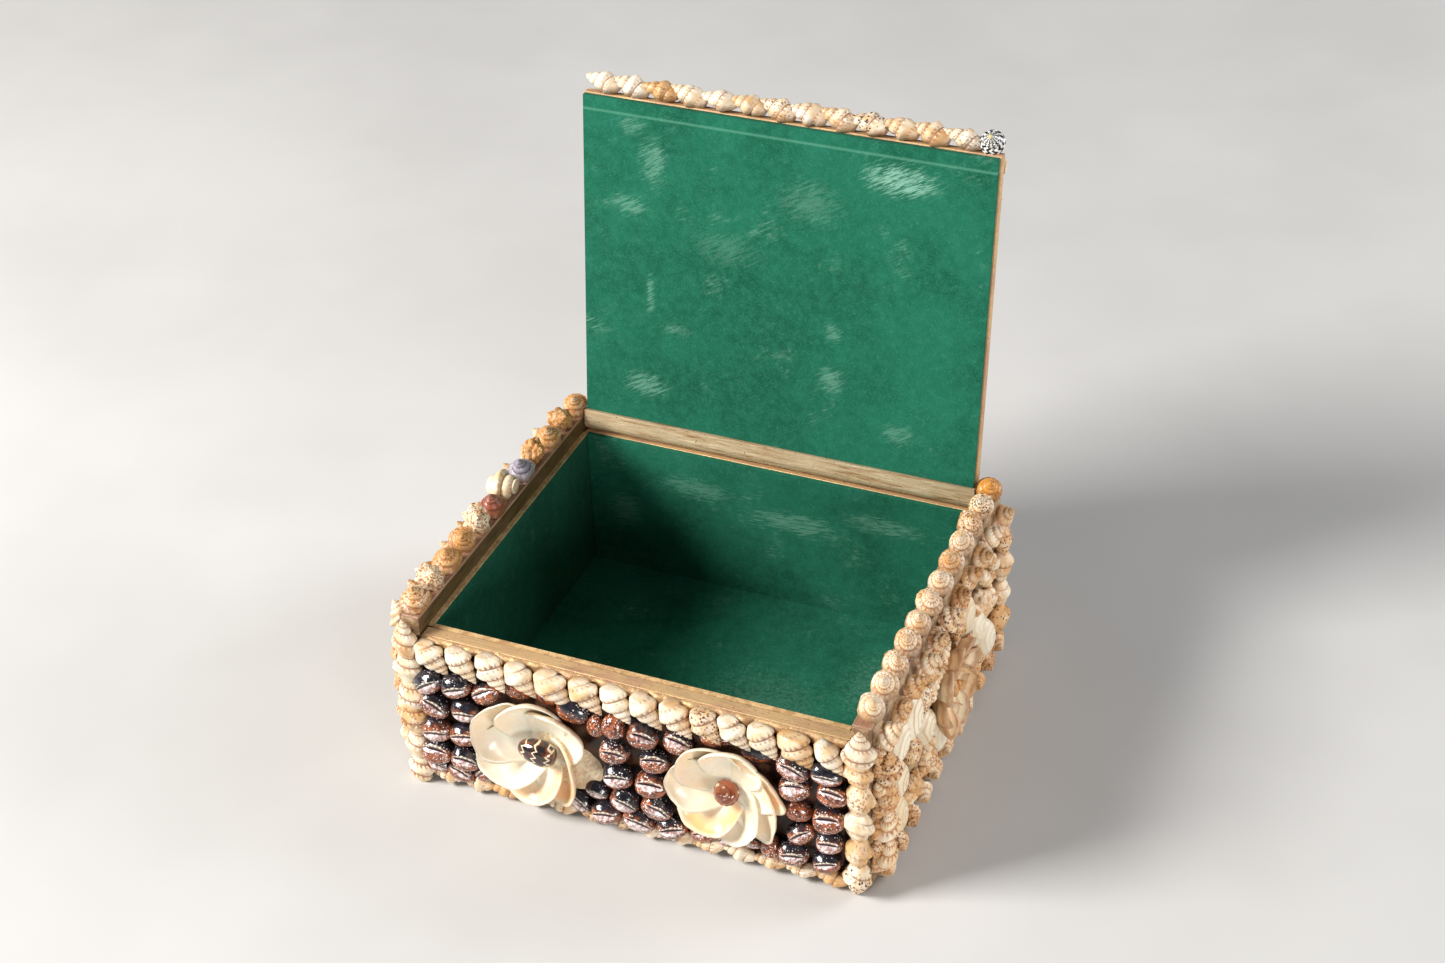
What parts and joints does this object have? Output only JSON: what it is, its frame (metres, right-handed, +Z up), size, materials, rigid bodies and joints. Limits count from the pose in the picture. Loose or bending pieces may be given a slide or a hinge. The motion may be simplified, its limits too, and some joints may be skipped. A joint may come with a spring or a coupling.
{
  "type": "shell box",
  "caption": "Wooden trinket box covered with sea shells, lined with green suede paper, with a lid that swings up on two pins.",
  "frame": {"origin": "middle of the wooden box's underside, on the surface it stands on", "axes": "+X to the right and +Z up, seen from the front; +Y to the back, where the lid is hinged"},
  "size_m": [0.1836, 0.1615, 0.1961],
  "materials": {
    "gold_wood": "gold paint, worn",
    "bare_wood": "bare",
    "green_suede": "matte suede paper, scuffed",
    "pin_steel": "plain wire",
    "whelk": "natural shell, satin",
    "dark_dove": "natural shell, glossy",
    "petal": "natural shell, glossy",
    "pink_petal": "natural shell, glossy",
    "pearl": "natural shell, glossy"
  },
  "bodies": {
    "box": {"back_bottom_row": "whelk", "back_left_column": "whelk", "back_lining": "green_suede", "back_pale_shells": "whelk", "back_right_column": "whelk", "back_upper_row": "whelk", "back_wall": "gold_wood", "floor_lining": "green_suede", "floor_panel": "bare_wood", "front_bottom_row": "whelk", "front_dark_shells": "dark_dove", "front_left_column": "whelk", "front_left_flower": "petal", "front_left_flower_heart": "dark_dove", "front_lining": "green_suede", "front_right_column": "whelk", "front_right_flower": "petal", "front_right_flower_heart": "dark_dove", "front_top_row": "whelk", "front_wall": "gold_wood", "left_back_column": "whelk", "left_bottom_row": "whelk", "left_crown_row": "whelk", "left_front_column": "whelk", "left_hinge_pin": "pin_steel", "left_lining": "green_suede", "left_pale_shells": "whelk", "left_rosette": "pink_petal", "left_rosette_heart": "dark_dove", "left_upper_row": "whelk", "left_wall": "gold_wood", "right_back_column": "whelk", "right_bottom_row": "whelk", "right_crown_pearl": "pearl", "right_crown_row": "whelk", "right_front_column": "whelk", "right_hinge_pin": "pin_steel", "right_lining": "green_suede", "right_pale_shells": "whelk", "right_rosette": "pink_petal", "right_rosette_heart": "dark_dove", "right_upper_row": "whelk", "right_wall": "gold_wood"},
    "lid": {"lid_corner_nerite": "dark_dove", "lid_flower": "petal", "lid_flower_heart": "dark_dove", "lid_front_row": "whelk", "lid_lining": "green_suede", "lid_outer_back_row": "whelk", "lid_outer_dark_shells": "dark_dove", "lid_outer_front_row": "whelk", "lid_outer_left_row": "whelk", "lid_outer_right_row": "whelk", "lid_panel": "gold_wood", "lid_rail": "gold_wood"}
  },
  "joints": [
    {"name": "lid_hinge", "type": "hinge", "parent": "box", "child": "lid", "pos_m": [0, 0.06295, 0.06378], "axis": [1, 0, 0], "range_deg": [0, 96.8]}
  ]
}
